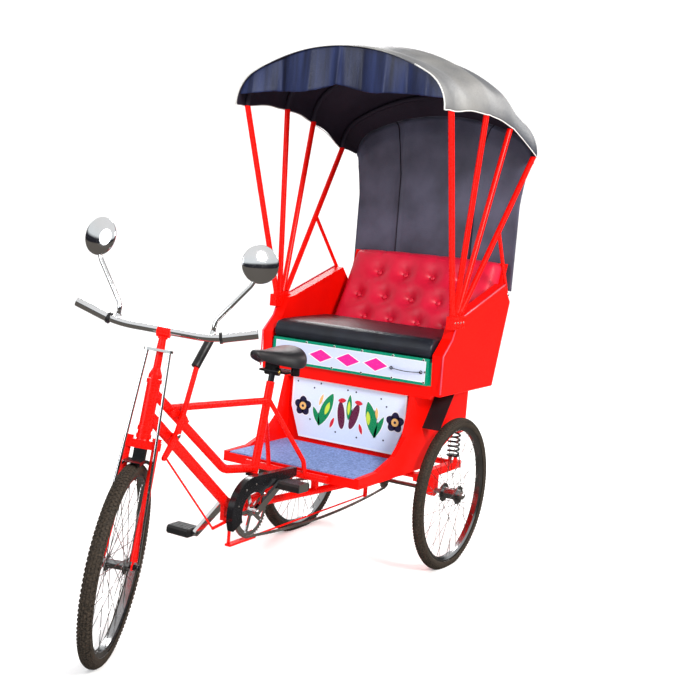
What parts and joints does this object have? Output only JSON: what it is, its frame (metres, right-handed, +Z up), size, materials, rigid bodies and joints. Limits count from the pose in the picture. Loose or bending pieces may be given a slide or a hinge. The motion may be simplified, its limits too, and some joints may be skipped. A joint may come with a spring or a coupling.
{
  "type": "pedal passenger tricycle",
  "caption": "Pedal passenger tricycle with a steered front wheel, rider's saddle, chain drive, painted tub with a padded bench, and a bowed cloth hood.",
  "frame": {"origin": "on the ground, midway between the foremost and the rearmost point and between the two sides", "axes": "+X forward, +Y to the vehicle's left, +Z up; at rest the front wheel is turned to the left as in the picture"},
  "size_m": [2.3999, 1.0136, 2.1938],
  "materials": {
    "frame_paint": "gloss red enamel",
    "tub_paint": "gloss red enamel",
    "panel_paint": "painted sheet, pale lavender with a bright pattern",
    "chrome": "bright plating",
    "tyre": "dusty black",
    "black_paint": "gloss black",
    "steel": "oiled steel",
    "rubber": "matt black",
    "seat_cover": "black leatherette",
    "back_cover": "crimson leatherette, buttoned",
    "hood_cloth": "dark navy coated cloth",
    "curtain_cloth": "slate grey coated cloth",
    "mat": "blue grey speckled mat",
    "black_panel": "matt black sheet"
  },
  "bodies": {
    "chassis": {"head_tube": "frame_paint", "upper_tube": "frame_paint", "down_tube": "frame_paint", "top_tube": "frame_paint", "seat_tube": "frame_paint", "main_beams": "frame_paint", "seat_stays": "frame_paint", "side_members": "frame_paint", "rear_cross_tubes": "frame_paint", "hood_brackets": "frame_paint", "hood_arches": "frame_paint", "hood_legs": "frame_paint", "hood_braces": "frame_paint", "brake_lever": "frame_paint", "brake_linkage": "frame_paint", "tub_floor": "tub_paint", "tub_side_left": "tub_paint", "tub_side_right": "tub_paint", "box_walls": "tub_paint", "box_front": "tub_paint", "foot_pan": "tub_paint", "back_board": "tub_paint", "strip_board": "panel_paint", "art_board": "panel_paint", "chain_case": "black_paint", "springs": "black_paint", "saddle_post": "black_paint", "chain": "steel", "lever_grip": "rubber", "seat_cushion": "seat_cover", "saddle": "seat_cover", "backrest": "back_cover", "hood_cover": "hood_cloth", "rear_curtain": "curtain_cloth", "floor_mat": "mat", "splash_boards": "black_panel", "seat_board": "black_panel"},
    "steering": {"fork_legs": "frame_paint", "fork_crown": "frame_paint", "front_axle": "black_paint", "stem": "frame_paint", "handlebar": "chrome", "grips": "rubber", "mirrors": "chrome", "stay_rods": "chrome", "stay_bracket": "chrome", "brake_stirrup": "black_paint"},
    "front_wheel": {"front_tyre": "tyre", "front_wheel": "chrome"},
    "rear_wheel_left": {"rear_tyre_left": "tyre", "rear_wheel_left": "chrome", "axle_shaft": "steel"},
    "rear_wheel_right": {"rear_tyre_right": "tyre", "rear_wheel_right": "chrome"},
    "crankset": {"chainring": "chrome", "crank_left": "chrome", "crank_right": "chrome"},
    "pedal_left": {"pedal_left": "rubber"},
    "pedal_right": {"pedal_right": "rubber"}
  },
  "joints": [
    {"name": "steering_turn", "type": "hinge", "parent": "chassis", "child": "steering", "pos_m": [0.87373, 0, 0.32266], "axis": [-0.2045, 0, 0.9789], "range_deg": [-72.3, 17.7]},
    {"name": "front_wheel_spin", "type": "hinge", "parent": "steering", "child": "front_wheel", "pos_m": [0.90243, 0.01513, 0.32866], "axis": [-0.449, 0.8886, -0.0938], "continuous": true},
    {"name": "rear_left_spin", "type": "hinge", "parent": "chassis", "child": "rear_wheel_left", "pos_m": [-0.79797, 0.384, 0.33], "axis": [0, 1, 0], "continuous": true},
    {"name": "rear_right_spin", "type": "hinge", "parent": "chassis", "child": "rear_wheel_right", "pos_m": [-0.79797, -0.384, 0.33], "axis": [0, 1, 0], "continuous": true},
    {"name": "crank_spin", "type": "hinge", "parent": "chassis", "child": "crankset", "pos_m": [0.22703, 0, 0.383], "axis": [0, 1, 0], "continuous": true},
    {"name": "pedal_left_spin", "type": "hinge", "parent": "crankset", "child": "pedal_left", "pos_m": [0.07835, 0.1, 0.46542], "axis": [0, 1, 0], "continuous": true},
    {"name": "pedal_right_spin", "type": "hinge", "parent": "crankset", "child": "pedal_right", "pos_m": [0.37572, -0.1, 0.30058], "axis": [0, 1, 0], "continuous": true}
  ]
}
